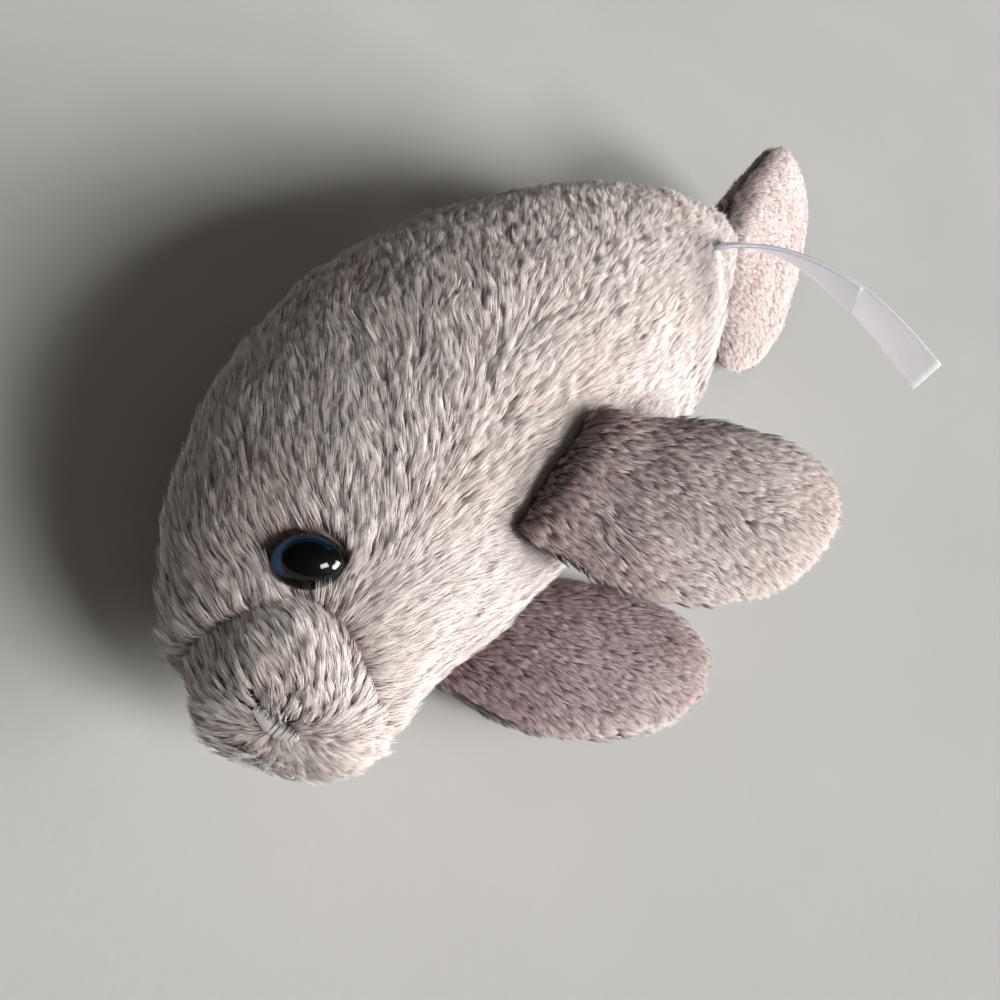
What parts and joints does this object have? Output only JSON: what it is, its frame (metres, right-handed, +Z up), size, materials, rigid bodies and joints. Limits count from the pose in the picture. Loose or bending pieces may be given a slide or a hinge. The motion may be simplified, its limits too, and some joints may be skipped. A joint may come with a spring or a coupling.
{
  "type": "plush manatee",
  "caption": "Small stuffed toy manatee lying on its side, with sprung paddle flippers and tail, domed eyes, stitched nostrils and a bare ribbon label.",
  "frame": {"origin": "on the table, under the middle of the toy's box", "axes": "+X towards the head, +Y towards the belly, +Z up out of the toy's left side"},
  "size_m": [0.1904, 0.0994, 0.0628],
  "materials": {
    "plush": "short grey-mauve pile",
    "flipper_plush": "short pile, darker mauve",
    "filling": "loose white fibre",
    "clear_plastic": "clear, polished",
    "black_plastic": "glossy, with a printed blue ring",
    "washer_plastic": "plain",
    "silver_thread": "satin stitch",
    "satin_ribbon": "satin weave, unprinted"
  },
  "bodies": {
    "body": {"left_side_panel": "plush", "right_side_panel": "plush", "belly_panel": "plush", "muzzle_panel": "plush", "body_filling": "filling", "left_eye_lens": "clear_plastic", "left_eye_back": "black_plastic", "left_eye_washer": "washer_plastic", "right_eye_lens": "clear_plastic", "right_eye_back": "black_plastic", "right_eye_washer": "washer_plastic", "left_nostril": "silver_thread", "right_nostril": "silver_thread"},
    "left_flipper": {"left_flipper_lower_panel": "flipper_plush", "left_flipper_upper_panel": "flipper_plush", "left_flipper_filling": "filling"},
    "right_flipper": {"right_flipper_lower_panel": "flipper_plush", "right_flipper_upper_panel": "flipper_plush", "right_flipper_filling": "filling"},
    "tail": {"tail_upper_panel": "plush", "tail_lower_panel": "plush", "tail_filling": "filling"},
    "label": {"label_long_leaf": "satin_ribbon", "label_short_leaf": "satin_ribbon"}
  },
  "joints": [
    {"name": "left_flipper_root", "type": "hinge", "parent": "body", "child": "left_flipper", "pos_m": [0.0388, 0.00585, 0.05338], "axis": [-0.9741, -0.1176, 0.1933], "range_deg": [-35, 25], "stiffness_Nm_per_rad": 0.04, "springref_deg": -0.8},
    {"name": "right_flipper_root", "type": "hinge", "parent": "body", "child": "right_flipper", "pos_m": [0.04517, 0.00664, 0.00631], "axis": [-0.9703, -0.0909, -0.2243], "range_deg": [-25, 35], "stiffness_Nm_per_rad": 0.04},
    {"name": "tail_root", "type": "hinge", "parent": "body", "child": "tail", "pos_m": [-0.0597, -0.00236, 0.03098], "axis": [-0.7336, -0.4221, 0.5326], "range_deg": [-20, 20], "stiffness_Nm_per_rad": 0.04},
    {"name": "label_seam", "type": "hinge", "parent": "body", "child": "label", "pos_m": [-0.039, -0.00178, 0.04342], "axis": [0.9344, -0.1421, 0.3267], "range_deg": [-30, 30], "stiffness_Nm_per_rad": 0.001}
  ]
}
